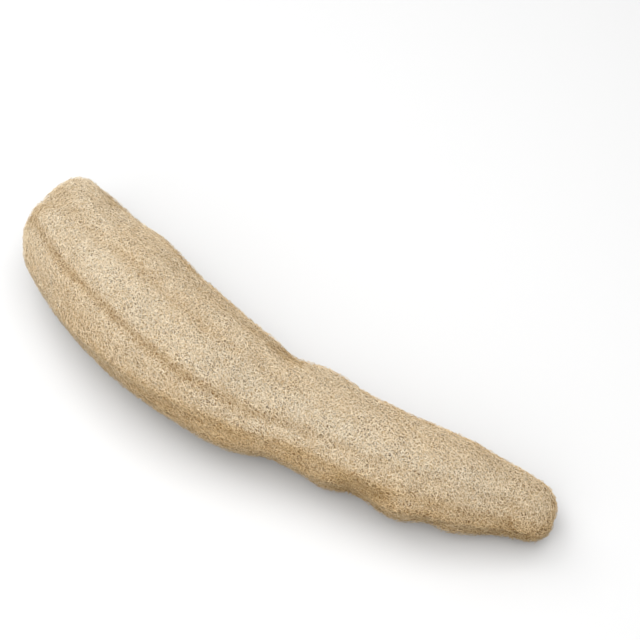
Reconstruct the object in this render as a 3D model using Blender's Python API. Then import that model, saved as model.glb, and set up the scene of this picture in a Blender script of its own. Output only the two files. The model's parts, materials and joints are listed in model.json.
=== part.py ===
"""A natural loofah sponge, modelled as one grown piece: the bleached fibre body of a luffa gourd.

It lies on its side along X, with the broad end at -X and the narrow end at +X, and its spine bends
sideways in the plan. Lengths are in metres, angles in degrees and +Z is up. The origin is below the
middle of the bounding box, on the surface that the gourd lies on.

A place on the skin is given by a share, from 0 at the broad end to 1 at the narrow end, and an angle
round the spine: 0 at the +Y side, 90 on top, 180 at the -Y side and 270 underneath.
"""

import math
import random

import bmesh
import bpy
from mathutils import Vector

# The whole body. The spine's sideways places and the half widths are read at the same shares.
# MIDDLE is the middle of the bounding box, measured from the broad end's tip and the spine's axis.
LENGTH = 0.400
SHARES = (0, 0.06, 0.15, 0.26, 0.38, 0.50, 0.62, 0.74, 0.86, 1)
SPINE_ACROSS = (0.0210, 0.0170, 0.0005, -0.0150, -0.0270, -0.0295, -0.0265, -0.0250, -0.0150, -0.0025)
HALF_WIDTH = (0.0305, 0.0360, 0.0411, 0.0446, 0.0426, 0.0377, 0.0331, 0.0326, 0.0286, 0.0175)
FLATNESS = 0.93
MIDDLE_ALONG = 0.1998
MIDDLE_ACROSS = -0.0098

# The two domed ends: how far each dome reaches along the body, and how blunt it is.
BROAD_DOME, BROAD_BLUNTNESS = 0.0265, 2.8
NARROW_DOME, NARROW_BLUNTNESS = 0.0160, 2.5
BROAD_PUCKER, NARROW_PUCKER, PUCKER_REACH = 0.0025, 0.0012, 0.010

# It lies on three low spots underneath. The body is lifted a little between them.
UNDERNEATH = 270
REST_SHARES = (0.17, 0.52, 0.90)
REST_REACH_ALONG = 0.014
REST_DIP = 0.0026
BODY_LIFT = 0.0008
BEARING_REACH_ALONG, BEARING_REACH_ROUND = 0.020, 0.017

# Long furrows between the ribs: the angle and the depth of each, read at five shares, and its half width.
# The one whose depths are below zero is a rib that stands higher than the rest.
FURROW_SHARES = (0, 0.25, 0.50, 0.75, 1)
FURROWS = (
    ((26, 24, 19, 22, 20), (0.0010, 0.0016, 0.0012, 0.0014, 0.0010), 0.0055),
    ((64, 56, 45, 61, 64), (0.0008, 0.0010, 0.0014, 0.0008, 0.0008), 0.0055),
    ((96, 84, 83, 92, 98), (0.0016, 0.0020, 0.0014, 0.0006, 0.0006), 0.0050),
    ((132, 128, 131, 121, 114), (0.0018, 0.0021, 0.0018, 0.0009, 0.0009), 0.0035),
    ((172, 168, 151, 143, 140), (0, -0.0018, -0.0018, -0.0004, 0), 0.0080),
    ((184, 179, 160, 153, 148), (0.0006, 0.0012, 0.0012, 0.0010, 0.0006), 0.0040),
    ((224, 213, 203, 192, 178), (0.0018, 0.0022, 0.0018, 0.0024, 0.0016), 0.0050),
    ((257, 250, 243, 232, 220), (0.0016, 0.0026, 0.0024, 0.0016, 0.0012), 0.0055),
    ((291, 287, 280, 270, 262), (0.0014, 0.0020, 0.0026, 0.0020, 0.0012), 0.0055),
    ((326, 322, 316, 308, 302), (0.0018, 0.0028, 0.0022, 0.0018, 0.0010), 0.0055),
    ((359, 357, 352, 346, 340), (0.0014, 0.0020, 0.0024, 0.0022, 0.0014), 0.0055),
)

# Lumps and dents: share, angle, reach along, reach round the body, and height.
LUMPS = (
    (0.035, 48, 0.014, 0.013, 0.0036),
    (0.030, 90, 0.014, 0.018, -0.0040),
    (0.020, 150, 0.014, 0.016, -0.0008),
    (0.090, 34, 0.014, 0.015, -0.0022),
    (0.090, 192, 0.014, 0.016, 0.0016),
    (0.190, 20, 0.014, 0.015, 0.0018),
    (0.290, 22, 0.018, 0.016, -0.0022),
    (0.480, 194, 0.020, 0.020, 0.0028),
    (0.535, 32, 0.010, 0.016, -0.0024),
    (0.560, 205, 0.013, 0.018, -0.0024),
    (0.610, 32, 0.014, 0.017, 0.0026),
    (0.665, 208, 0.013, 0.017, 0.0024),
    (0.710, 196, 0.013, 0.020, -0.0046),
    (0.738, 165, 0.015, 0.006, -0.0020),
    (0.790, 165, 0.012, 0.008, 0.0012),
    (0.930, 128, 0.005, 0.016, -0.0010),
    (0.775, 200, 0.012, 0.018, 0.0022),
    (0.815, 206, 0.009, 0.015, -0.0018),
    (0.850, 206, 0.011, 0.015, 0.0020),
    (0.920, 205, 0.015, 0.018, -0.0024),
)

# The raised net, larger than life: pits between crossing ridges, on a lattice of triangles.
MOST_AROUND, LEAST_AROUND = 51, 5
PIT_EVERY = 3
LEAST_SPACING = 0.0036
ROW_TO_SPACING = 0.87
PIT_DEPTH = (0.0016, 0.0024)
RIDGE_DROP = 0.0004
JITTER = 0.16
NET_SEED = 7

# Three seed channels open at the broad end. Their mouths are round and narrow inwards.
CHANNEL_COUNT = 3
CHANNEL_RING_RADIUS = 0.0125
CHANNEL_FIRST_ANGLE = 80
CHANNEL_MOUTH_RADIUS, CHANNEL_INNER_RADIUS = 0.0056, 0.0034
CHANNEL_DEPTH, CHANNEL_OVERSHOOT = 0.022, 0.008
CHANNEL_SIDES = 12

STRAW_COLOUR = (0.67, 0.55, 0.38, 1)
PROFILE_SAMPLES = 4000


def clear_scene():
    for old in list(bpy.data.objects):
        bpy.data.objects.remove(old)


def value_at(shares, values, share):
    """The smooth curve through the values, with each slope taken from the neighbouring values."""
    last = len(shares) - 1

    def slope(i):
        if i == 0 or i == last:
            j = min(i, last - 1)
            return (values[j + 1] - values[j]) / (shares[j + 1] - shares[j])
        before = shares[i] - shares[i - 1]
        after = shares[i + 1] - shares[i]
        rise_before = (values[i] - values[i - 1]) / before
        rise_after = (values[i + 1] - values[i]) / after
        return (rise_before * after + rise_after * before) / (before + after)

    i = 0
    while i < last - 1 and share >= shares[i + 1]:
        i += 1
    span = shares[i + 1] - shares[i]
    s = (share - shares[i]) / span
    return (
        (2 * s**3 - 3 * s**2 + 1) * values[i]
        + (s**3 - 2 * s**2 + s) * span * slope(i)
        + (3 * s**2 - 2 * s**3) * values[i + 1]
        + (s**3 - s**2) * span * slope(i + 1)
    )


def turn_between(angle, other):
    """The turn in radians from one angle to another, both in degrees, the short way round."""
    return math.radians((angle - other + 180) % 360 - 180)


def dome(share):
    """The share of the full girth that the section keeps inside the domed ends."""
    into_broad = max(0, 1 - share * LENGTH / BROAD_DOME)
    into_narrow = max(0, 1 - (1 - share) * LENGTH / NARROW_DOME)
    broad = (1 - into_broad**BROAD_BLUNTNESS) ** (1 / BROAD_BLUNTNESS)
    narrow = (1 - into_narrow**NARROW_BLUNTNESS) ** (1 / NARROW_BLUNTNESS)
    return broad * narrow


def bearing(share, angle, radius):
    """1 in the middle of a rest spot underneath, falling to 0 round it."""
    round_gap = turn_between(angle, UNDERNEATH) * radius / BEARING_REACH_ROUND
    along_gaps = ((share - rest) * LENGTH / BEARING_REACH_ALONG for rest in REST_SHARES)
    return min(1, sum(math.exp(-(gap**2) - round_gap**2) for gap in along_gaps))


def relief(share, angle, radius):
    """How far the furrows, lumps and dents move the skin outwards."""
    height = 0
    for angles, depths, half_width in FURROWS:
        gap = turn_between(angle, value_at(FURROW_SHARES, angles, share)) * radius
        depth = value_at(FURROW_SHARES, depths, share)
        height -= depth * math.exp(-((gap / half_width) ** 2))
    for lump_share, lump_angle, reach_along, reach_round, lump_height in LUMPS:
        along = (share - lump_share) * LENGTH / reach_along
        across = turn_between(angle, lump_angle) * radius / reach_round
        height += lump_height * math.exp(-(along**2) - across**2)
    return height * (1 - bearing(share, angle, radius))


def spine_point(share):
    radius = value_at(SHARES, HALF_WIDTH, share)
    dips = sum(math.exp(-(((share - rest) * LENGTH / REST_REACH_ALONG) ** 2)) for rest in REST_SHARES)
    height = FLATNESS * radius + BODY_LIFT - REST_DIP * dips
    across = value_at(SHARES, SPINE_ACROSS, share)
    return Vector((LENGTH * share - MIDDLE_ALONG, across - MIDDLE_ACROSS, height))


def spine_heading(share):
    """The spine's direction in the plan, from the broad end to the narrow end."""
    step = 1 / PROFILE_SAMPLES
    ahead = spine_point(min(1, share + step)) - spine_point(max(0, share - step))
    return Vector((ahead.x, ahead.y, 0)).normalized()


def skin_point(share, angle):
    """The place on the skin, before the net is pressed into it."""
    full_radius = value_at(SHARES, HALF_WIDTH, share)
    radius = (full_radius + relief(share, angle, full_radius)) * dome(share)
    heading = spine_heading(share)
    side = Vector((-heading.y, heading.x, 0))
    turn = math.radians(angle)
    point = spine_point(share)
    point += radius * math.cos(turn) * side
    point.z += FLATNESS * radius * math.sin(turn)
    pucker = math.exp(-((radius / PUCKER_REACH) ** 2))
    if share * LENGTH < BROAD_DOME:
        point += BROAD_PUCKER * pucker * heading
    elif (1 - share) * LENGTH < NARROW_DOME:
        point -= NARROW_PUCKER * pucker * heading
    point.z = max(point.z, 0)
    return point


def net_rings():
    """The share and the number of places of each ring, so that the places lie evenly over the skin."""
    walk = [(0, 0, LEAST_AROUND)]
    rows_walked = 0
    before = Vector((0, 0))
    for i in range(1, PROFILE_SAMPLES + 1):
        # The samples crowd towards both ends, where the domes turn quickly.
        share = 0.5 - 0.5 * math.cos(math.pi * i / PROFILE_SAMPLES)
        full_radius = value_at(SHARES, HALF_WIDTH, share)
        radius = full_radius * dome(share)
        here = Vector((LENGTH * share, radius))
        spacing = max(2 * math.pi * full_radius / MOST_AROUND, LEAST_SPACING)
        rows_walked += (here - before).length / (spacing * ROW_TO_SPACING)
        before = here
        count = max(LEAST_AROUND, min(MOST_AROUND, round(2 * math.pi * radius / spacing)))
        walk.append((rows_walked, share, count))
    rows = round(rows_walked)
    rings = []
    for reached, share, count in walk:
        if reached * rows / rows_walked >= len(rings) + 1 and len(rings) < rows - 1:
            rings.append((share, count))
    return rings


def bridge(bm, ring, next_ring):
    """A band of triangles between two rings of (angle, vertex) pairs, which may differ in number."""
    i = j = 0
    while i < len(ring) or j < len(next_ring):
        a = ring[i % len(ring)][1]
        b = next_ring[j % len(next_ring)][1]
        angle_i = ring[(i + 1) % len(ring)][0] + 360 * ((i + 1) // len(ring))
        angle_j = next_ring[(j + 1) % len(next_ring)][0] + 360 * ((j + 1) // len(next_ring))
        if j == len(next_ring) or (i < len(ring) and angle_i < angle_j):
            i += 1
            bm.faces.new((a, b, ring[i % len(ring)][1]))
        else:
            j += 1
            bm.faces.new((a, b, next_ring[j % len(next_ring)][1]))


def close_end(bm, ring, share):
    """A fan from the end's middle to its first or last ring."""
    tip = bm.verts.new(skin_point(share, 0))
    for i, (_, vert) in enumerate(ring):
        bm.faces.new((tip, vert, ring[(i + 1) % len(ring)][1]))


def choose_pits(rings):
    """Pits keep a ridge between them: no two share an edge. The choice spreads from the middle ring."""
    middle = len(rings) // 2
    pits = {vert for i, (_, vert) in enumerate(rings[middle]) if i % PIT_EVERY == 0}
    for ring in rings[middle + 1 :] + rings[:middle][::-1]:
        for _, vert in ring:
            if not any(edge.other_vert(vert) in pits for edge in vert.link_edges):
                pits.add(vert)
    return pits


def make_body(collection):
    draw = random.Random(NET_SEED)
    bm = bmesh.new()
    rings = []
    net = net_rings()
    for row, (share, count) in enumerate(net):
        step = 360 / count
        row_share = 0.5 * (net[min(row + 1, len(net) - 1)][0] - net[max(row - 1, 0)][0])
        ring = []
        for i in range(count):
            angle = (i + 0.5 * (row % 2)) * step
            own_share = share + draw.uniform(-JITTER, JITTER) * row_share
            own_angle = angle + draw.uniform(-JITTER, JITTER) * step
            ring.append((angle, bm.verts.new(skin_point(own_share, own_angle))))
        rings.append(ring)
    for ring, next_ring in zip(rings, rings[1:]):
        bridge(bm, ring, next_ring)
    close_end(bm, rings[0], 0)
    close_end(bm, rings[-1], 1)
    bmesh.ops.recalc_face_normals(bm, faces=bm.faces)
    bm.normal_update()
    pits = choose_pits(rings)
    # The rest spots stay flat: what is pressed onto the surface has no net.
    drops = []
    for vert in bm.verts:
        depth = draw.uniform(*PIT_DEPTH) if vert in pits else draw.uniform(0, RIDGE_DROP)
        if vert.co.z > 0:
            drops.append((vert, depth * vert.normal))
    for vert, drop in drops:
        vert.co -= drop
        vert.co.z = max(vert.co.z, 0)
    mesh = bpy.data.meshes.new("loofah")
    bm.to_mesh(mesh)
    bm.free()
    mesh.shade_smooth()
    body = bpy.data.objects.new("loofah", mesh)
    collection.objects.link(body)
    return body


def make_channel_cutters(collection):
    """One tapered plug for each seed channel, pointing into the broad end."""
    heading = spine_heading(0)
    side = Vector((-heading.y, heading.x, 0))
    length = CHANNEL_DEPTH + CHANNEL_OVERSHOOT
    taper = (CHANNEL_MOUTH_RADIUS - CHANNEL_INNER_RADIUS) / CHANNEL_DEPTH
    for i in range(CHANNEL_COUNT):
        turn = math.radians(CHANNEL_FIRST_ANGLE + i * 360 / CHANNEL_COUNT)
        centre = spine_point(0) + CHANNEL_RING_RADIUS * math.cos(turn) * side
        centre.z += CHANNEL_RING_RADIUS * math.sin(turn)
        bm = bmesh.new()
        bmesh.ops.create_cone(
            bm,
            cap_ends=True,
            segments=CHANNEL_SIDES,
            radius1=CHANNEL_MOUTH_RADIUS + taper * CHANNEL_OVERSHOOT,
            radius2=CHANNEL_INNER_RADIUS,
            depth=length,
        )
        mesh = bpy.data.meshes.new(f"channel_cutter_{i + 1}")
        bm.to_mesh(mesh)
        bm.free()
        cutter = bpy.data.objects.new(mesh.name, mesh)
        cutter.location = centre + (CHANNEL_DEPTH - length / 2) * heading
        cutter.rotation_mode = "QUATERNION"
        cutter.rotation_quaternion = heading.to_track_quat("Z", "Y")
        cutter.hide_render = True
        cutter.display_type = "WIRE"
        collection.objects.link(cutter)


def straw_material():
    material = bpy.data.materials.new("loofah_fibre")
    material.use_nodes = True
    shader = material.node_tree.nodes["Principled BSDF"]
    shader.inputs["Base Color"].default_value = STRAW_COLOUR
    shader.inputs["Roughness"].default_value = 0.9
    shader.inputs["Metallic"].default_value = 0
    return material


def main():
    clear_scene()
    part = bpy.data.collections.new("natural_loofah_sponge")
    cutters = bpy.data.collections.new("channel_cutters")
    for collection in (part, cutters):
        bpy.context.scene.collection.children.link(collection)
    body = make_body(part)
    body.data.materials.append(straw_material())
    make_channel_cutters(cutters)
    channels = body.modifiers.new("seed_channels", "BOOLEAN")
    channels.operation = "DIFFERENCE"
    channels.operand_type = "COLLECTION"
    channels.collection = cutters


main()
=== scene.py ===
import json
import math

import bmesh
import bpy
import numpy as np
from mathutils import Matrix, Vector

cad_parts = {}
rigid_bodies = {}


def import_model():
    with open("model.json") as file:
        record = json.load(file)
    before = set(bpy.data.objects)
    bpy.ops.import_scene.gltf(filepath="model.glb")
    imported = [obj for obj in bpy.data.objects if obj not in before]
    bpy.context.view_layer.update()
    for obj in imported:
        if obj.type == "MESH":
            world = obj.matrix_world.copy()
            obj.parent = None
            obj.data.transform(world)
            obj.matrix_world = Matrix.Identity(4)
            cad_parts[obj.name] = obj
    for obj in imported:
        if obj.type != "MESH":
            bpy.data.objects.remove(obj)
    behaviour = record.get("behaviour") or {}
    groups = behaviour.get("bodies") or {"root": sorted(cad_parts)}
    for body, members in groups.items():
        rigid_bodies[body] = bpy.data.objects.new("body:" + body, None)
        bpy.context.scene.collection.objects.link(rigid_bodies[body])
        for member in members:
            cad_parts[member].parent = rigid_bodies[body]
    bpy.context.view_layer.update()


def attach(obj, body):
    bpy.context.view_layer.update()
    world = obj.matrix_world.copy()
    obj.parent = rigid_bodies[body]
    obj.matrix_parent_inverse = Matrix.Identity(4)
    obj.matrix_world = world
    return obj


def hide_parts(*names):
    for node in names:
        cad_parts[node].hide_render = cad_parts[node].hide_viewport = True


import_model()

print("frame loaded")

# A dried luffa gourd: its fibre bed, its net and its loose strands all follow one skin.
# Metres and degrees. A place on the skin is a share of the length from the broad end, and an angle
# round the spine: 0 at the +Y side, 90 on top, 270 underneath.
gourd = {
    "length": 0.400,
    "shares": (0, 0.06, 0.15, 0.26, 0.38, 0.50, 0.62, 0.74, 0.86, 1),
    "spineAcross": (
        0.0210, 0.0170, 0.0005, -0.0150, -0.0270, -0.0295, -0.0265, -0.0250, -0.0150, -0.0025,
    ),
    "halfWidth": (0.0305, 0.0360, 0.0411, 0.0446, 0.0426, 0.0377, 0.0331, 0.0326, 0.0286, 0.0175),
    "flatness": 0.93,                   # height as a share of the width
    "middle": (0.1998, -0.0098),        # what lies at the origin, along and across
    "broadDome": (0.0265, 2.8),         # reach along the body, bluntness
    "narrowDome": (0.0160, 2.5),
    "pucker": (0.0025, 0.0012, 0.010),  # depth at the broad end, at the narrow end, reach
    "restShares": (0.17, 0.52, 0.90),   # where it touches the table
    "restReach": 0.014,
    "restDip": 0.0026,
    "lift": 0.0008,
    "underneath": 270,
    "bearingReach": (0.020, 0.017),     # along the body, round it
    "furrowShares": (0, 0.25, 0.50, 0.75, 1),
    "headingStep": 0.00025,             # share of the length, each way, over which a heading is taken
}

# each long furrow: its angles and its depths at the furrow shares, and its half width; the one whose
# depths are below zero is a raised rib
furrows = (
    ((26, 24, 19, 22, 20), (0.0010, 0.0016, 0.0012, 0.0014, 0.0010), 0.0055),
    ((64, 56, 45, 61, 64), (0.0008, 0.0010, 0.0014, 0.0008, 0.0008), 0.0055),
    ((96, 84, 83, 92, 98), (0.0016, 0.0020, 0.0014, 0.0006, 0.0006), 0.0050),
    ((132, 128, 131, 121, 114), (0.0018, 0.0021, 0.0018, 0.0009, 0.0009), 0.0035),
    ((172, 168, 151, 143, 140), (0, -0.0018, -0.0018, -0.0004, 0), 0.0080),
    ((184, 179, 160, 153, 148), (0.0006, 0.0012, 0.0012, 0.0010, 0.0006), 0.0040),
    ((224, 213, 203, 192, 178), (0.0018, 0.0022, 0.0018, 0.0024, 0.0016), 0.0050),
    ((257, 250, 243, 232, 220), (0.0016, 0.0026, 0.0024, 0.0016, 0.0012), 0.0055),
    ((291, 287, 280, 270, 262), (0.0014, 0.0020, 0.0026, 0.0020, 0.0012), 0.0055),
    ((326, 322, 316, 308, 302), (0.0018, 0.0028, 0.0022, 0.0018, 0.0010), 0.0055),
    ((359, 357, 352, 346, 340), (0.0014, 0.0020, 0.0024, 0.0022, 0.0014), 0.0055),
)

# lumps and dents: share, angle, reach along, reach round, height
lumps = (
    (0.035, 48, 0.014, 0.013, 0.0036),
    (0.030, 90, 0.014, 0.018, -0.0040),
    (0.020, 150, 0.014, 0.016, -0.0008),
    (0.090, 34, 0.014, 0.015, -0.0022),
    (0.090, 192, 0.014, 0.016, 0.0016),
    (0.190, 20, 0.014, 0.015, 0.0018),
    (0.290, 22, 0.018, 0.016, -0.0022),
    (0.480, 194, 0.020, 0.020, 0.0028),
    (0.535, 32, 0.010, 0.016, -0.0024),
    (0.560, 205, 0.013, 0.018, -0.0024),
    (0.610, 32, 0.014, 0.017, 0.0026),
    (0.665, 208, 0.013, 0.017, 0.0024),
    (0.710, 196, 0.013, 0.020, -0.0046),
    (0.738, 165, 0.015, 0.006, -0.0020),
    (0.790, 165, 0.012, 0.008, 0.0012),
    (0.930, 128, 0.005, 0.016, -0.0010),
    (0.775, 200, 0.012, 0.018, 0.0022),
    (0.815, 206, 0.009, 0.015, -0.0018),
    (0.850, 206, 0.011, 0.015, 0.0020),
    (0.920, 205, 0.015, 0.018, -0.0024),
)


def curveThrough(keys, values, at):
    # smooth curve through the values, its slopes taken from the neighbours
    keys = np.asarray(keys, float)
    values = np.asarray(values, float)
    slopes = np.gradient(values, keys)
    i = np.clip(np.searchsorted(keys, at, side="right") - 1, 0, len(keys) - 2)
    span = keys[i + 1] - keys[i]
    s = (at - keys[i]) / span
    return (
        (2 * s**3 - 3 * s**2 + 1) * values[i]
        + (s**3 - 2 * s**2 + s) * span * slopes[i]
        + (3 * s**2 - 2 * s**3) * values[i + 1]
        + (s**3 - s**2) * span * slopes[i + 1]
    )


def fullRadius(share):
    return curveThrough(gourd["shares"], gourd["halfWidth"], share)


def bell(x):
    return np.exp(-(x**2))


def turnBetween(angle, other):
    return np.radians((angle - other + 180) % 360 - 180)


def domeShare(share):
    # how much of the full girth is left inside the rounded ends
    length = gourd["length"]
    reach, blunt = gourd["broadDome"]
    broad = (1 - np.clip(1 - share * length / reach, 0, 1) ** blunt) ** (1 / blunt)
    reach, blunt = gourd["narrowDome"]
    narrow = (1 - np.clip(1 - (1 - share) * length / reach, 0, 1) ** blunt) ** (1 / blunt)
    return broad * narrow


def reliefHeight(share, angle, radius):
    length = gourd["length"]
    height = np.zeros_like(share)
    for angles, depths, reach in furrows:
        gap = turnBetween(angle, curveThrough(gourd["furrowShares"], angles, share)) * radius
        depth = curveThrough(gourd["furrowShares"], depths, share)
        height -= depth * bell(gap / reach)
    for atShare, atAngle, reachAlong, reachRound, rise in lumps:
        along = (share - atShare) * length / reachAlong
        across = turnBetween(angle, atAngle) * radius / reachRound
        height += rise * np.exp(-(along**2) - across**2)
    # the rest spots stay smooth
    alongReach, roundReach = gourd["bearingReach"]
    under = (turnBetween(angle, gourd["underneath"]) * radius / roundReach) ** 2
    bearing = sum(
        np.exp(-(((share - rest) * length / alongReach) ** 2) - under) for rest in gourd["restShares"]
    )
    return height * (1 - np.minimum(bearing, 1))


def spinePoint(share):
    length = gourd["length"]
    middleAlong, middleAcross = gourd["middle"]
    dips = sum(bell((share - rest) * length / gourd["restReach"]) for rest in gourd["restShares"])
    across = curveThrough(gourd["shares"], gourd["spineAcross"], share)
    height = gourd["flatness"] * fullRadius(share) + gourd["lift"] - gourd["restDip"] * dips
    return np.stack([length * share - middleAlong, across - middleAcross, height], -1)


def spineHeading(share):
    step = gourd["headingStep"]
    ahead = spinePoint(np.minimum(share + step, 1)) - spinePoint(np.maximum(share - step, 0))
    ahead[..., 2] = 0
    return ahead / np.linalg.norm(ahead, axis=-1, keepdims=True)


def skinPoint(share, angle):
    full = fullRadius(share)
    radius = (full + reliefHeight(share, angle, full)) * domeShare(share)
    heading = spineHeading(share)
    side = np.stack([-heading[..., 1], heading[..., 0], 0 * share], -1)
    turn = np.radians(angle)
    point = spinePoint(share) + (radius * np.cos(turn))[..., None] * side
    point[..., 2] += gourd["flatness"] * radius * np.sin(turn)
    broad, narrow, reach = gourd["pucker"]
    dent = bell(radius / reach)
    dent = np.where(share < 0.5, broad * dent, -narrow * dent)
    return point + dent[..., None] * heading


# the three seed channels at the broad end
channels = {
    "count": 3,
    "ringRadius": 0.0125,
    "firstAngle": 80,
    "mouthRadius": 0.0056,
    "innerRadius": 0.0034,
    "depth": 0.022,
    "overshoot": 0.008,
    "sides": 24,
}


def channelCentres():
    tip = np.array([0.0])
    heading = spineHeading(tip)[0]
    side = np.array([-heading[1], heading[0], 0])
    centres = []
    for i in range(channels["count"]):
        turn = math.radians(channels["firstAngle"] + i * 360 / channels["count"])
        centre = spinePoint(tip)[0] + channels["ringRadius"] * math.cos(turn) * side
        centre[2] += channels["ringRadius"] * math.sin(turn)
        centres.append(centre)
    return centres, heading


def nearMouth(points):
    # true where a point lies over one of the channel mouths
    centres, heading = channelCentres()
    found = np.zeros(len(points), bool)
    for centre in centres:
        gap = points - centre
        along = gap @ heading
        off = np.linalg.norm(gap - along[:, None] * heading, axis=1)
        found |= (off < channels["mouthRadius"]) & (np.abs(along) < channels["depth"])
    return found


# how places are laid over the skin
lattice = {
    "samples": 8001,      # steps in which the skin is measured from end to end
    "rowShare": 0.87,     # distance between rings as a share of the spacing round them
    "least": 5,           # places on the smallest ring
    "alongShare": 0.8,    # how much of the jitter there is along the gourd
    "tiny": 1e-12,        # keeps the division safe
}


def skinLattice(spacing, jitter, seed):
    # rings of places that lie evenly over the skin, as share and angle, and the triangles between them
    draw = np.random.default_rng(seed)
    sample = 0.5 - 0.5 * np.cos(np.pi * np.linspace(0, 1, lattice["samples"]))
    radius = fullRadius(sample) * domeShare(sample)
    steps = np.hypot(np.diff(sample) * gourd["length"], np.diff(radius))
    walked = np.concatenate([[0], np.cumsum(steps)]) / (spacing * lattice["rowShare"])
    rows = round(walked[-1])
    marks = walked[-1] * np.arange(1, rows) / rows
    ringShares = np.interp(marks, walked, sample)
    gaps = np.gradient(ringShares)
    shares, angles, rings = [np.array([0.0])], [np.array([0.0])], []
    used = 1
    for row, share in enumerate(ringShares):
        girth = 2 * math.pi * float(np.interp(share, sample, radius))
        count = max(lattice["least"], round(girth / spacing))
        step = 360 / count
        angle = (np.arange(count) + 0.5 * (row % 2)) * step
        shares.append(share + draw.uniform(-jitter, jitter, count) * gaps[row] * lattice["alongShare"])
        angles.append(angle + draw.uniform(-jitter, jitter, count) * step)
        rings.append((used, angle))
        used += count
    shares.append(np.array([1.0]))
    angles.append(np.array([0.0]))
    faces = []
    first, angle = rings[0]
    faces += [(0, first + (i + 1) % len(angle), first + i) for i in range(len(angle))]
    for (a, angleA), (b, angleB) in zip(rings, rings[1:]):
        i = j = 0
        na, nb = len(angleA), len(angleB)
        while i < na or j < nb:
            nextA = angleA[(i + 1) % na] + 360 * ((i + 1) // na)
            nextB = angleB[(j + 1) % nb] + 360 * ((j + 1) // nb)
            if j == nb or (i < na and nextA < nextB):
                faces.append((a + i % na, a + (i + 1) % na, b + j % nb))
                i += 1
            else:
                faces.append((a + i % na, b + (j + 1) % nb, b + j % nb))
                j += 1
    last, angle = rings[-1]
    faces += [(last + i, last + (i + 1) % len(angle), used) for i in range(len(angle))]
    share = np.clip(np.concatenate(shares), 0, 1)
    return share, np.concatenate(angles), np.array(faces)


# how golden the fibres are: least at the broad end and, as a painted highlight, on the crest that lies
# uppermost; more in the furrows and most low on the sides, as painted shade; the rest is the fibres' own
# tone
warmAndPaintedLight = {
    "everywhere": 0.13,
    # painted highlight: the fibres on the crest that lies uppermost are made paler
    "crest": (105, 16, 0.14),       # angle, reach in degrees, how much paler
    # the golden line along each furrow is painted shade
    "furrow": (0.0018, 2.0, 0.42),  # depth of a full furrow, how narrow its golden line is, how much warmer
    "faint": (90, 20, 0.6),         # angle, reach in degrees, how much fainter those lines are on top
    # painted shade low on the sides: how far upward the warmest side faces, reach up and down from there,
    # how much warmer
    "side": (0.28, 0.36, 0.85, 0.62),
    "sideShares": (0.05, 0.50),     # where the warmer sides begin along the gourd, and are full
    "sideLeast": 0.3,               # how much of it there is at the broad end
    "broad": (0.28, 0.56),          # how far the paler broad end reaches, how much paler
    "narrow": (0.60, 0.06),         # where the warmer narrow end begins, how much warmer
}


def ramp(value, start, end):
    s = np.clip((value - start) / (end - start), 0, 1)
    return s * s * (3 - 2 * s)


def furrowLine(share, angle):
    # 1 along the bottom of a deep furrow, 0 beside it
    depth, narrowness, _ = warmAndPaintedLight["furrow"]
    line = np.clip(-reliefHeight(share, angle, fullRadius(share)) / depth, 0, 1) ** narrowness
    faintAngle, reach, fainter = warmAndPaintedLight["faint"]
    return line * (1 - fainter * bell(turnBetween(angle, faintAngle) / math.radians(reach)))


def warmthAndPaintedLightOf(share, angle, normals):
    crestAngle, reach, paler = warmAndPaintedLight["crest"]
    # painted highlight on the uppermost crest
    crest = paler * bell(turnBetween(angle, crestAngle) / math.radians(reach))
    # painted shade along the furrows
    furrow = warmAndPaintedLight["furrow"][2] * furrowLine(share, angle)
    # painted shade, golden, low on the sides
    upward, reachUp, reachDown, most = warmAndPaintedLight["side"]
    above = normals[:, 2] - upward
    side = most * bell(np.maximum(above / reachUp, -above / reachDown))
    least = warmAndPaintedLight["sideLeast"]
    side *= least + (1 - least) * ramp(share, *warmAndPaintedLight["sideShares"])
    start, most = warmAndPaintedLight["narrow"]
    narrow = most * ramp(share, start, 1)
    warmthAndPaintedLight = 1 - (1 - np.clip(warmAndPaintedLight["everywhere"] - crest, 0, 1)) * (1 - side) * (1 - narrow)
    reach, paler = warmAndPaintedLight["broad"]
    warmthAndPaintedLight *= 1 - paler * (1 - ramp(share, 0, reach))
    return 1 - (1 - warmthAndPaintedLight) * (1 - furrow)


# painted shade: the flanks grow a little darker downwards, and so do the furrows
paintedShading = {
    "facing": (0.30, -0.35),  # how far upward the skin faces where the painted shade begins, and where it is full
    "most": 0.26,
    "furrow": 0.15,
}


# painted shade: darker on the lower flanks and along the furrows
def paintedShadeOf(share, angle, normals):
    flank = paintedShading["most"] * ramp(normals[:, 2], *paintedShading["facing"])
    return 1 - (1 - flank) * (1 - paintedShading["furrow"] * furrowLine(share, angle))


def skinMesh(name, shape, opened=False):
    # a sheet that follows the skin at a depth below it
    share, angle, faces = skinLattice(shape["spacing"], shape["jitter"], shape["seed"])
    points = skinPoint(share, angle)
    corner = points[faces]
    normals = np.zeros_like(points)
    faceNormals = np.cross(corner[:, 1] - corner[:, 0], corner[:, 2] - corner[:, 0])
    for k in range(3):
        np.add.at(normals, faces[:, k], faceNormals)
    normals /= np.linalg.norm(normals, axis=1, keepdims=True) + lattice["tiny"]
    draw = np.random.default_rng(shape["seed"] + 1)
    depth = shape["sink"] + draw.uniform(-shape["roughness"], shape["roughness"], len(points))
    points = points - normals * depth[:, None]
    if opened:
        faces = faces[~nearMouth(points)[faces].any(axis=1)]
    mesh = bpy.data.meshes.new(name)
    mesh.from_pydata(points.tolist(), [], faces.tolist())
    for label, values in (("warmthAndPaintedLight", warmthAndPaintedLightOf(share, angle, normals)),
                          ("paintedShade", paintedShadeOf(share, angle, normals))):
        mesh.attributes.new(label, "FLOAT", "POINT").data.foreach_set("value", values)
    mesh.update()
    piece = bpy.data.objects.new(name, mesh)
    bpy.context.scene.collection.objects.link(piece)
    return piece


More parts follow.
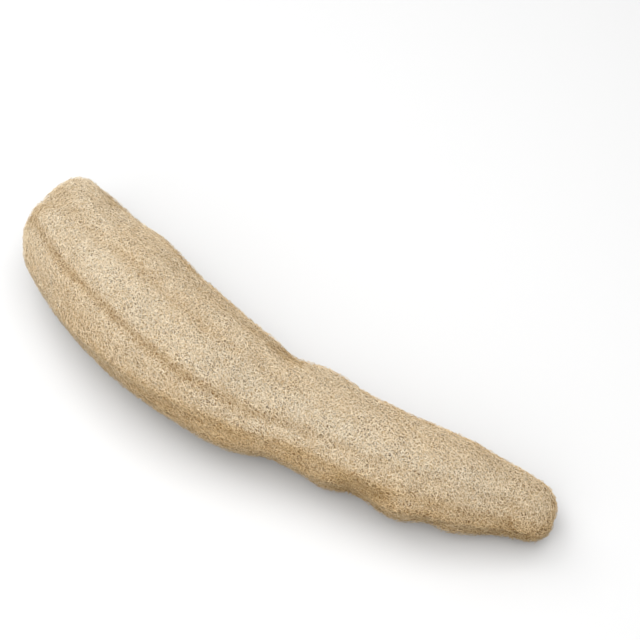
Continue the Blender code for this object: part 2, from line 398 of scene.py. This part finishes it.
def addNode(tree, kind, inputs=None, **settings):
    # A Mix node takes its share at 0 and two numbers at 2 and 3, or two colours at 6 and 7. A mixed
    # number comes out at 0, a mixed colour at 2. A Random Value node takes its least and most at 2 and
    # 3, and gives its number at 1.
    node = tree.nodes.new(kind)
    for key, value in settings.items():
        setattr(node, key, value)
    for key, value in (inputs or {}).items():
        if isinstance(value, bpy.types.NodeSocket):
            tree.links.new(value, node.inputs[key])
        else:
            node.inputs[key].default_value = value
    return node


def linear(hexColour):
    # sRGB hex to the linear colour that the shader takes
    parts = [int(hexColour[i:i + 2], 16) / 255 for i in (1, 3, 5)]
    return [p / 12.92 if p <= 0.04045 else ((p + 0.055) / 1.055) ** 2.4 for p in parts] + [1]


# Bleached luffa fibre: dry plant strands, matt, pale straw, more golden toward the narrow end, and golden
# where they lie deep or low, which is painted shade; paler on the uppermost crest, which is a painted
# highlight.
# Blotches some centimetres wide, and each strand a little lighter or darker.
fibreLook = {
    "pale": "#FFF7E5",      # bleached fibres, the lightest and the dullest
    "straw": "#CEB58B",
    "honey": "#FFE2AA",     # golden fibres, the lightest and the dullest
    "golden": "#AA7E3E",
    "paintedShadeColour": "#4C3F2E",      # the painted shade colour that the flanks and the furrows darken toward
    "blotchSize": 0.028,
    "blotchRange": (0.35, 0.70),  # the noise's values where a blotch begins, and where it is full
    "blotchWarmth": 0.16,
    "strandSize": 0.0008,
    "strandRange": (0.42, 0.58),
    "paleShare": 1.0,
    "toneShare": 0.55,      # how much of the difference is from strand to strand
    "grainSize": 0.0003,
    "grainBump": (0.5, 0.0002),   # strength, height
    "roughness": (0.72, 0.92),
    "specular": 0.25,
}

# Packed luffa fibre, which the bed is made of: the same fibre in webs of thin raised lines round pores
# of 1 to 2 mm. The pores are painted dark as painted shade, and felted shut in patches.
webLook = {
    "cells": (0.0016, 0.0011),
    "line": (0.02, 0.19),   # half width of a line's crest and of its foot, as shares of its cell
    "bendSize": 0.0030,
    "bend": 0.0030,
    # the pores' dark colours are painted shade
    "poreShade": "#452E15",
    "goldenPoreShade": "#714A1B",
    "goldenAt": 0.5,        # the warmth, with its painted light, where the painted pore shade is as golden as it gets
    "paintedShade": 0.21,          # painted shade: how much darker the bed is than the strands that lie over it
    "patchSize": 0.011,     # patches where the pores are felted shut
    "patchRange": (0.40, 0.62),
    "patchFill": 0.65,      # how pale the pores are in them
    "height": 0.0005,
    "roughness": 0.9,
}


def fibreColour(tree, place, look, tone):
    # straw turning golden with warmth, which is partly painted light, and with blotches; single strands
    # turning pale; and the painted shade darkening it all
    blotch = addNode(tree, "ShaderNodeTexNoise",
                     {"Vector": place, "Scale": 1 / look["blotchSize"], "Detail": 3, "Roughness": 0.55})
    low, high = look["blotchRange"]
    wide = addNode(tree, "ShaderNodeMapRange",
                   {"Value": blotch.outputs["Fac"], "From Min": low, "From Max": high,
                    "To Min": 0, "To Max": look["blotchWarmth"]})
    warmthAndPaintedLight = addNode(tree, "ShaderNodeAttribute", attribute_name="warmthAndPaintedLight")
    golden = addNode(tree, "ShaderNodeMath", {0: wide.outputs[0], 1: warmthAndPaintedLight.outputs["Fac"]},
                     operation="ADD", use_clamp=True)
    dull = addNode(tree, "ShaderNodeMix",
                   {0: golden.outputs[0], 6: linear(look["straw"]), 7: linear(look["golden"])},
                   data_type="RGBA")
    light = addNode(tree, "ShaderNodeMix",
                    {0: golden.outputs[0], 6: linear(look["pale"]), 7: linear(look["honey"])},
                    data_type="RGBA")
    strand = addNode(tree, "ShaderNodeTexNoise",
                     {"Vector": place, "Scale": 1 / look["strandSize"], "Detail": 2, "Roughness": 0.6})
    low, high = look["strandRange"]
    pale = addNode(tree, "ShaderNodeMapRange",
                   {"Value": strand.outputs["Fac"], "From Min": low, "From Max": high,
                    "To Min": 0, "To Max": look["paleShare"]})
    if tone:
        own = addNode(tree, "ShaderNodeAttribute", attribute_name="tone")
        pale = addNode(tree, "ShaderNodeMix",
                       {0: look["toneShare"], 2: pale.outputs[0], 3: own.outputs["Fac"]},
                       data_type="FLOAT")
    colour = addNode(tree, "ShaderNodeMix", {0: pale.outputs[0], 6: dull.outputs[2], 7: light.outputs[2]},
                     data_type="RGBA")
    # painted shade: the colour darkens toward the shade colour on the lower flanks and in the furrows
    paintedShade = addNode(tree, "ShaderNodeAttribute", attribute_name="paintedShade")
    withPaintedShade = addNode(tree, "ShaderNodeMix",
                     {0: paintedShade.outputs["Fac"], 6: colour.outputs[2], 7: linear(look["paintedShadeColour"])},
                     data_type="RGBA")
    return withPaintedShade.outputs[2]


def newMaterial(name, look):
    material = bpy.data.materials.new(name)
    material.use_nodes = True
    tree = material.node_tree
    shader = tree.nodes["Principled BSDF"]
    shader.inputs["Specular IOR Level"].default_value = look["specular"]
    return material, tree, shader, addNode(tree, "ShaderNodeTexCoord").outputs["Object"]


def strandMaterial(name, look):
    material, tree, shader, place = newMaterial(name, look)
    tree.links.new(fibreColour(tree, place, look, True), shader.inputs["Base Color"])
    grain = addNode(tree, "ShaderNodeTexNoise",
                    {"Vector": place, "Scale": 1 / look["grainSize"], "Detail": 1})
    low, high = look["roughness"]
    rough = addNode(tree, "ShaderNodeMapRange",
                    {"Value": grain.outputs["Fac"], "To Min": low, "To Max": high})
    tree.links.new(rough.outputs[0], shader.inputs["Roughness"])
    strength, height = look["grainBump"]
    bump = addNode(tree, "ShaderNodeBump",
                   {"Height": grain.outputs["Fac"], "Strength": strength, "Distance": height})
    tree.links.new(bump.outputs["Normal"], shader.inputs["Normal"])
    return material


def bedMaterial(name, look, web):
    material, tree, shader, place = newMaterial(name, look)
    warp = addNode(tree, "ShaderNodeTexNoise", {"Vector": place, "Scale": 1 / web["bendSize"], "Detail": 2})
    bend = addNode(tree, "ShaderNodeVectorMath", {0: warp.outputs["Color"], 1: (0.5, 0.5, 0.5)},
                   operation="SUBTRACT")
    bend = addNode(tree, "ShaderNodeVectorMath", {0: bend.outputs[0], "Scale": web["bend"]},
                   operation="SCALE")
    bent = addNode(tree, "ShaderNodeVectorMath", {0: place, 1: bend.outputs[0]}, operation="ADD")
    crest, foot = web["line"]
    webs = []
    for cell in web["cells"]:
        net = addNode(tree, "ShaderNodeTexVoronoi", {"Vector": bent.outputs[0], "Scale": 1 / cell},
                      feature="DISTANCE_TO_EDGE")
        line = addNode(tree, "ShaderNodeMapRange",
                       {"Value": net.outputs["Distance"], "From Min": crest, "From Max": foot,
                        "To Min": 1, "To Max": 0}, interpolation_type="SMOOTHSTEP")
        webs.append(line.outputs[0])
    height = addNode(tree, "ShaderNodeMath", {0: webs[0], 1: webs[1]}, operation="MAXIMUM")
    patch = addNode(tree, "ShaderNodeTexNoise",
                    {"Vector": place, "Scale": 1 / web["patchSize"], "Detail": 2})
    low, high = web["patchRange"]
    shut = addNode(tree, "ShaderNodeMapRange",
                   {"Value": patch.outputs["Fac"], "From Min": low, "From Max": high,
                    "To Min": 0, "To Max": web["patchFill"]})
    fibre = fibreColour(tree, place, look, False)
    warmthAndPaintedLight = addNode(tree, "ShaderNodeAttribute", attribute_name="warmthAndPaintedLight")
    deep = addNode(tree, "ShaderNodeMapRange",
                   {"Value": warmthAndPaintedLight.outputs["Fac"], "From Max": web["goldenAt"]})
    # painted shade in the pores, golden where the fibres are warm
    poreShadeColour = addNode(tree, "ShaderNodeMix",
                   {0: deep.outputs[0], 6: linear(web["poreShade"]), 7: linear(web["goldenPoreShade"])},
                   data_type="RGBA")
    poreShade = addNode(tree, "ShaderNodeMix", {0: shut.outputs[0], 6: poreShadeColour.outputs[2], 7: fibre},
                   data_type="RGBA")
    colour = addNode(tree, "ShaderNodeMix", {0: height.outputs[0], 6: poreShade.outputs[2], 7: fibre},
                     data_type="RGBA")
    # painted shade: the bed darkens toward the pore colour, as shadow under the strands that lie over it
    withPaintedShade = addNode(tree, "ShaderNodeMix", {0: web["paintedShade"], 6: colour.outputs[2], 7: poreShadeColour.outputs[2]},
                     data_type="RGBA")
    tree.links.new(withPaintedShade.outputs[2], shader.inputs["Base Color"])
    shader.inputs["Roughness"].default_value = web["roughness"]
    bump = addNode(tree, "ShaderNodeBump",
                   {"Height": height.outputs[0], "Strength": 1, "Distance": web["height"]})
    tree.links.new(bump.outputs["Normal"], shader.inputs["Normal"])
    return material


paleFibre = strandMaterial("bleachedLuffaFibre", fibreLook)
deepFibre = bedMaterial("packedLuffaFibre", fibreLook, webLook)
print("materials ready")

# The bed: the packed fibres that close the view between the fibres of the net.
bedShape = {
    "spacing": 0.0021,
    "sink": 0.0015,         # how far below the skin it lies
    "jitter": 0.3,
    "roughness": 0.0003,    # how unevenly
    "seed": 11,
    "lowest": 0.0006,       # height of its underside over the table
}


def cutChannels(piece):
    centres, heading = channelCentres()
    heading = Vector(heading)
    length = channels["depth"] + channels["overshoot"]
    taper = (channels["mouthRadius"] - channels["innerRadius"]) / channels["depth"]
    cutters = bpy.data.collections.new("channelCutters")
    bpy.context.scene.collection.children.link(cutters)
    for centre in centres:
        bm = bmesh.new()
        bmesh.ops.create_cone(bm, cap_ends=True, segments=channels["sides"],
                              radius1=channels["mouthRadius"] + taper * channels["overshoot"],
                              radius2=channels["innerRadius"], depth=length)
        turn = heading.to_track_quat("Z", "Y").to_matrix()
        bmesh.ops.rotate(bm, verts=bm.verts, cent=(0, 0, 0), matrix=turn)
        inward = (channels["depth"] - length / 2) * heading
        bmesh.ops.translate(bm, verts=bm.verts, vec=Vector(centre) + inward)
        mesh = bpy.data.meshes.new("channelCutter")
        bm.to_mesh(mesh)
        bm.free()
        cutters.objects.link(bpy.data.objects.new("channelCutter", mesh))
    cut = piece.modifiers.new("channels", "BOOLEAN")
    cut.operation = "DIFFERENCE"
    cut.operand_type = "COLLECTION"
    cut.collection = cutters
    graph = bpy.context.evaluated_depsgraph_get()
    mesh = bpy.data.meshes.new_from_object(piece.evaluated_get(graph))
    piece.modifiers.clear()
    piece.data = mesh
    for cutter in list(cutters.objects):
        bpy.data.objects.remove(cutter)
    bpy.data.collections.remove(cutters)


def settleOnFloor(piece, lowest):
    # what would reach below the surface lies flat on it
    mesh = piece.data
    points = np.empty(len(mesh.vertices) * 3, np.float32)
    mesh.vertices.foreach_get("co", points)
    points = points.reshape(-1, 3)
    points[:, 2] = np.maximum(points[:, 2], lowest)
    mesh.vertices.foreach_set("co", points.ravel())
    mesh.update()


fibreBed = skinMesh("fibreBed", bedShape)
settleOnFloor(fibreBed, bedShape["lowest"])
cutChannels(fibreBed)
fibreBed.data.materials.clear()
fibreBed.data.materials.append(deepFibre)
fibreBed.data.shade_smooth()
print("fibre bed", len(fibreBed.data.polygons), "faces")


# what all the fibres share
fibreForm = {
    "thickness": (0.75, 1.25),  # thinnest and thickest, as shares of the fibre radius
    "sides": 3,
    "noiseApart": 1000.0,       # how far apart in the noise the fibres may lie that bend each alone
}


def newTree(name, measures, counts):
    kinds = {"NodeSocketFloat": measures, "NodeSocketInt": counts, "NodeSocketMaterial": ("Material",)}
    tree = bpy.data.node_groups.new(name, "GeometryNodeTree")
    tree.interface.new_socket(name="Geometry", in_out="INPUT", socket_type="NodeSocketGeometry")
    for kind, labels in kinds.items():
        for label in labels:
            tree.interface.new_socket(name=label, in_out="INPUT", socket_type=kind)
    tree.interface.new_socket(name="Geometry", in_out="OUTPUT", socket_type="NodeSocketGeometry")
    return tree


def grow(source, tree, values, name):
    # runs the tree on the source sheet and keeps the result as a plain mesh
    modifier = source.modifiers.new(tree.name, "NODES")
    modifier.node_group = tree
    for item in tree.interface.items_tree:
        if item.in_out == "INPUT" and item.name in values:
            modifier[item.identifier] = values[item.name]
    graph = bpy.context.evaluated_depsgraph_get()
    mesh = bpy.data.meshes.new_from_object(source.evaluated_get(graph))
    mesh.name = name
    piece = bpy.data.objects.new(name, mesh)
    bpy.context.scene.collection.objects.link(piece)
    bpy.data.objects.remove(source)
    print(name, len(mesh.polygons), "faces")
    return piece


def wander(tree, start, geometry, alone):
    # bends the fibres by noise, so that none is straight: all together, or each one alone
    place = addNode(tree, "GeometryNodeInputPosition")
    frequency = addNode(tree, "ShaderNodeMath", {0: 1.0, 1: start.outputs["Wander Size"]},
                        operation="DIVIDE")
    own = addNode(tree, "FunctionNodeRandomValue",
                  {3: fibreForm["noiseApart"] if alone else 0.0, "Seed": start.outputs["Seed"]},
                  data_type="FLOAT")
    kept = addNode(tree, "GeometryNodeFieldOnDomain", {0: own.outputs[1]},
                   data_type="FLOAT", domain="CURVE")
    noise = addNode(tree, "ShaderNodeTexNoise",
                    {"Vector": place.outputs[0], "W": kept.outputs[0],
                     "Scale": frequency.outputs[0], "Detail": 1}, noise_dimensions="4D")
    centred = addNode(tree, "ShaderNodeVectorMath", {0: noise.outputs["Color"], 1: (0.5, 0.5, 0.5)},
                      operation="SUBTRACT")
    offset = addNode(tree, "ShaderNodeVectorMath",
                     {0: centred.outputs[0], "Scale": start.outputs["Wander"]}, operation="SCALE")
    moved = addNode(tree, "GeometryNodeSetPosition", {"Geometry": geometry, "Offset": offset.outputs[0]})
    return moved.outputs[0]


def fleshOut(tree, start, lines):
    # each line becomes a fibre with its own tone, and takes the warmth with its painted light and the
    # painted shade of the sheet it lies on
    own = addNode(tree, "FunctionNodeRandomValue", {"Seed": start.outputs["Seed"]}, data_type="FLOAT")
    marked = addNode(tree, "GeometryNodeStoreNamedAttribute",
                     {"Geometry": lines, "Name": "tone", "Value": own.outputs[1]},
                     data_type="FLOAT", domain="CURVE")
    for name in ("warmthAndPaintedLight", "paintedShade"):
        named = addNode(tree, "GeometryNodeInputNamedAttribute", {"Name": name}, data_type="FLOAT")
        near = addNode(tree, "GeometryNodeSampleNearestSurface",
                       {"Mesh": start.outputs["Geometry"], "Value": named.outputs["Attribute"]},
                       data_type="FLOAT")
        marked = addNode(tree, "GeometryNodeStoreNamedAttribute",
                         {"Geometry": marked.outputs[0], "Name": name, "Value": near.outputs["Value"]},
                         data_type="FLOAT", domain="POINT")
    thinnest, thickest = fibreForm["thickness"]
    thickness = addNode(tree, "FunctionNodeRandomValue",
                        {2: thinnest, 3: thickest, "Seed": start.outputs["Seed"]}, data_type="FLOAT")
    sized = addNode(tree, "GeometryNodeSetCurveRadius",
                    {"Curve": marked.outputs[0], "Radius": thickness.outputs[1]})
    section = addNode(tree, "GeometryNodeCurvePrimitiveCircle",
                      {"Resolution": fibreForm["sides"], "Radius": start.outputs["Fibre Radius"]})
    tubes = addNode(tree, "GeometryNodeCurveToMesh",
                    {"Curve": sized.outputs[0], "Profile Curve": section.outputs[0], "Fill Caps": True})
    real = addNode(tree, "GeometryNodeRealizeInstances", {"Geometry": tubes.outputs[0]})
    painted = addNode(tree, "GeometryNodeSetMaterial",
                      {"Geometry": real.outputs[0], "Material": start.outputs["Material"]})
    addNode(tree, "NodeGroupOutput", {"Geometry": painted.outputs[0]})


# The net: the crossing fibres of the skin. Its cells are about 3.6 mm wide, and the strands over it
# close them to pores of 1 to 2 mm.
netTree = newTree("fibreNet", ("Fibre Radius", "Wander", "Wander Size"), ("Seed",))
start = addNode(netTree, "NodeGroupInput")
cells = addNode(netTree, "GeometryNodeDualMesh", {"Mesh": start.outputs["Geometry"]})
bent = wander(netTree, start, cells.outputs[0], False)
lines = addNode(netTree, "GeometryNodeMeshToCurve", {"Mesh": bent})
fleshOut(netTree, start, lines.outputs[0])

netShape = {
    "spacing": 0.0036,
    "sink": 0.0010,
    "jitter": 0.5,
    "roughness": 0.0003,
    "radius": 0.00018,
    "wander": 0.0040,
    "wanderSize": 0.0035,
    "seed": 21,
    "lowest": 0.0001,
}
sheet = skinMesh("netSheet", netShape, True)
fibreNet = grow(sheet, netTree, {
    "Fibre Radius": netShape["radius"], "Wander": netShape["wander"],
    "Wander Size": netShape["wanderSize"], "Seed": netShape["seed"], "Material": paleFibre,
}, "fibreNet")
settleOnFloor(fibreNet, netShape["lowest"])
pieces = [fibreBed, fibreNet]


# Short strands: curly fibres felted over the net in every direction. Their tree scatters points,
# lays a line on each, bends every line in its own way and makes a fibre of it.
strandShape = {
    "wanderSize": 0.0018,
    "densest": 2e6,            # points to a square metre, before those too close together are dropped
    "thinFrom": (0.15, 0.60),  # the warmth, with its painted light, where strands begin to be fewer, and where they are fewest
    "thinning": 0.50,          # share of the strands that is left there
    "sizes": (0.6, 1.3),       # shortest and longest, as shares of the strand length
    "lowest": 0.0001,
}
strandTree = newTree("shortStrands", (
    "Fibre Radius", "Strand Length", "Apart", "Wander", "Wander Size", "Turn", "Thinning",
), ("Points", "Seed"))
start = addNode(strandTree, "NodeGroupInput")
warmthAndPaintedLightHere = addNode(strandTree, "GeometryNodeInputNamedAttribute", {"Name": "warmthAndPaintedLight"}, data_type="FLOAT")
low, high = strandShape["thinFrom"]
thinned = addNode(strandTree, "ShaderNodeMapRange",
                  {"Value": warmthAndPaintedLightHere.outputs["Attribute"], "From Min": low, "From Max": high,
                   "To Min": 1, "To Max": start.outputs["Thinning"]})
spots = addNode(strandTree, "GeometryNodeDistributePointsOnFaces",
                {"Mesh": start.outputs["Geometry"], "Distance Min": start.outputs["Apart"],
                 "Density Max": strandShape["densest"], "Density Factor": thinned.outputs[0],
                 "Seed": start.outputs["Seed"]}, distribute_method="POISSON")
across = addNode(strandTree, "ShaderNodeVectorMath", {0: spots.outputs["Normal"], 1: (1, 0, 0)},
                 operation="CROSS_PRODUCT")
upright = addNode(strandTree, "FunctionNodeAlignRotationToVector", {"Vector": spots.outputs["Normal"]},
                  axis="Z")
laid = addNode(strandTree, "FunctionNodeAlignRotationToVector",
               {"Rotation": upright.outputs[0], "Vector": across.outputs[0]}, axis="X", pivot_axis="Z")
back = addNode(strandTree, "ShaderNodeMath", {0: start.outputs["Turn"], 1: -1.0}, operation="MULTIPLY")
swing = addNode(strandTree, "FunctionNodeRandomValue",
                {2: back.outputs[0], 3: start.outputs["Turn"], "Seed": start.outputs["Seed"]},
                data_type="FLOAT")
spin = addNode(strandTree, "FunctionNodeAxisAngleToRotation",
               {"Axis": (0, 0, 1), "Angle": swing.outputs[1]})
turned = addNode(strandTree, "FunctionNodeRotateRotation",
                 {"Rotation": laid.outputs[0], "Rotate By": spin.outputs[0]}, rotation_space="LOCAL")
ends = []
for half in (-0.5, 0.5):
    reach = addNode(strandTree, "ShaderNodeMath", {0: start.outputs["Strand Length"], 1: half},
                    operation="MULTIPLY")
    ends.append(addNode(strandTree, "ShaderNodeCombineXYZ", {"X": reach.outputs[0]}).outputs[0])
line = addNode(strandTree, "GeometryNodeCurvePrimitiveLine", {"Start": ends[0], "End": ends[1]})
bends = addNode(strandTree, "GeometryNodeResampleCurve",
                {"Curve": line.outputs[0], "Count": start.outputs["Points"]})
shortest, longest = strandShape["sizes"]
size = addNode(strandTree, "FunctionNodeRandomValue",
               {2: shortest, 3: longest, "Seed": start.outputs["Seed"]}, data_type="FLOAT")
laidOut = addNode(strandTree, "GeometryNodeInstanceOnPoints",
                  {"Points": spots.outputs["Points"], "Instance": bends.outputs[0],
                   "Rotation": turned.outputs[0], "Scale": size.outputs[1]})
real = addNode(strandTree, "GeometryNodeRealizeInstances", {"Geometry": laidOut.outputs[0]})
fleshOut(strandTree, start, wander(strandTree, start, real.outputs[0], True))

# Three layers of them: each lies over the one before, with longer and thinner strands. A strand turns
# by up to "turn" degrees either way from lying across the gourd.
strandSheet = {"spacing": 0.004, "jitter": 0.2, "roughness": 0}
strandLayers = (
    {"name": "innerStrands", "sink": 0.0010, "radius": 0.00021, "apart": 0.00200,
     "length": 0.0026, "points": 3, "turn": 90, "wander": 0.0028, "seed": 5},
    {"name": "middleStrands", "sink": 0.0006, "radius": 0.00018, "apart": 0.00200,
     "length": 0.0032, "points": 3, "turn": 90, "wander": 0.0020, "seed": 6},
    {"name": "outerStrands", "sink": 0, "radius": 0.00014, "apart": 0.00220,
     "length": 0.0046, "points": 4, "turn": 80, "wander": 0.0030, "seed": 7},
)
for layer in strandLayers:
    sheet = skinMesh(layer["name"] + "Sheet", strandSheet | layer, True)
    strands = grow(sheet, strandTree, {
        "Fibre Radius": layer["radius"], "Strand Length": layer["length"], "Apart": layer["apart"],
        "Wander": layer["wander"], "Wander Size": strandShape["wanderSize"],
        "Turn": math.radians(layer["turn"]), "Points": layer["points"],
        "Thinning": strandShape["thinning"], "Seed": layer["seed"], "Material": paleFibre,
    }, layer["name"])
    settleOnFloor(strands, strandShape["lowest"])
    pieces.append(strands)

for piece in pieces:
    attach(piece, "root")
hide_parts("loofah")
print("pieces ride on the root")


# Studio: a white table in a pale room, a wide soft light overhead, and smaller ones at the back left
# and at the front left. The table is matt white paper with hardly a highlight.
studio = {
    "floorSize": 8,
    "floorColour": "#D1D1D1",
    "floorRoughness": 0.9,
    "floorSpecular": 0.1,
    "roomStrength": 0.34,
    # name, metres to the right and to the back as the camera sees it, height, width, watts
    "lights": (
        ("overhead", 0.10, 0, 1.4, 1.6, 20.8),
        ("backLeft", -0.67, 0.63, 1.15, 1.0, 9.0),
        ("front", -0.42, -0.64, 0.80, 1.2, 6.6),
    ),
}

# The photograph's view: the camera looks down at a slant, turned a little to the gourd's narrow end.
view = {
    "turn": 30.4,
    "tilt": 58,
    "distance": 0.975,
    "aim": (-0.0022, 0.0674, 0),
    "focal": 81.2,   # millimetres, as is the sensor's width
    "sensor": 36,
}

turn = math.radians(view["turn"])
tilt = math.radians(view["tilt"])
away = Vector((math.sin(turn) * math.cos(tilt), -math.cos(turn) * math.cos(tilt), math.sin(tilt)))
camera = bpy.data.objects.new("camera", bpy.data.cameras.new("camera"))
camera.data.lens = view["focal"]
camera.data.sensor_width = view["sensor"]
camera.location = Vector(view["aim"]) + view["distance"] * away
camera.rotation_mode = "QUATERNION"
camera.rotation_quaternion = (-away).to_track_quat("-Z", "Y")
bpy.context.scene.collection.objects.link(camera)
bpy.context.scene.camera = camera

floorMesh = bpy.data.meshes.new("floor")
half = studio["floorSize"] / 2
corners = [(-half, -half, 0), (half, -half, 0), (half, half, 0), (-half, half, 0)]
floorMesh.from_pydata(corners, [], [(0, 1, 2, 3)])
floor = bpy.data.objects.new("floor", floorMesh)
bpy.context.scene.collection.objects.link(floor)
paper = bpy.data.materials.new("whitePaperTable")
paper.use_nodes = True
matt = paper.node_tree.nodes["Principled BSDF"].inputs
matt["Base Color"].default_value = linear(studio["floorColour"])
matt["Roughness"].default_value = studio["floorRoughness"]
matt["Specular IOR Level"].default_value = studio["floorSpecular"]
floorMesh.materials.append(paper)

world = bpy.data.worlds.new("whiteRoom")
world.use_nodes = True
room = world.node_tree.nodes["Background"].inputs
room["Color"].default_value = (1, 1, 1, 1)
room["Strength"].default_value = studio["roomStrength"]
bpy.context.scene.world = world

toRight = Vector((math.cos(turn), math.sin(turn), 0))
toBack = Vector((-math.sin(turn), math.cos(turn), 0))
for name, right, back, height, width, watts in studio["lights"]:
    soft = bpy.data.lights.new(name, "AREA")
    soft.shape = "SQUARE"
    soft.size = width
    soft.energy = watts
    softbox = bpy.data.objects.new(name, soft)
    softbox.location = right * toRight + back * toBack + Vector((0, 0, height))
    softbox.rotation_mode = "QUATERNION"
    softbox.rotation_quaternion = (-softbox.location).to_track_quat("-Z", "Y")
    bpy.context.scene.collection.objects.link(softbox)
bpy.context.scene.view_settings.view_transform = "Standard"
print("studio ready")
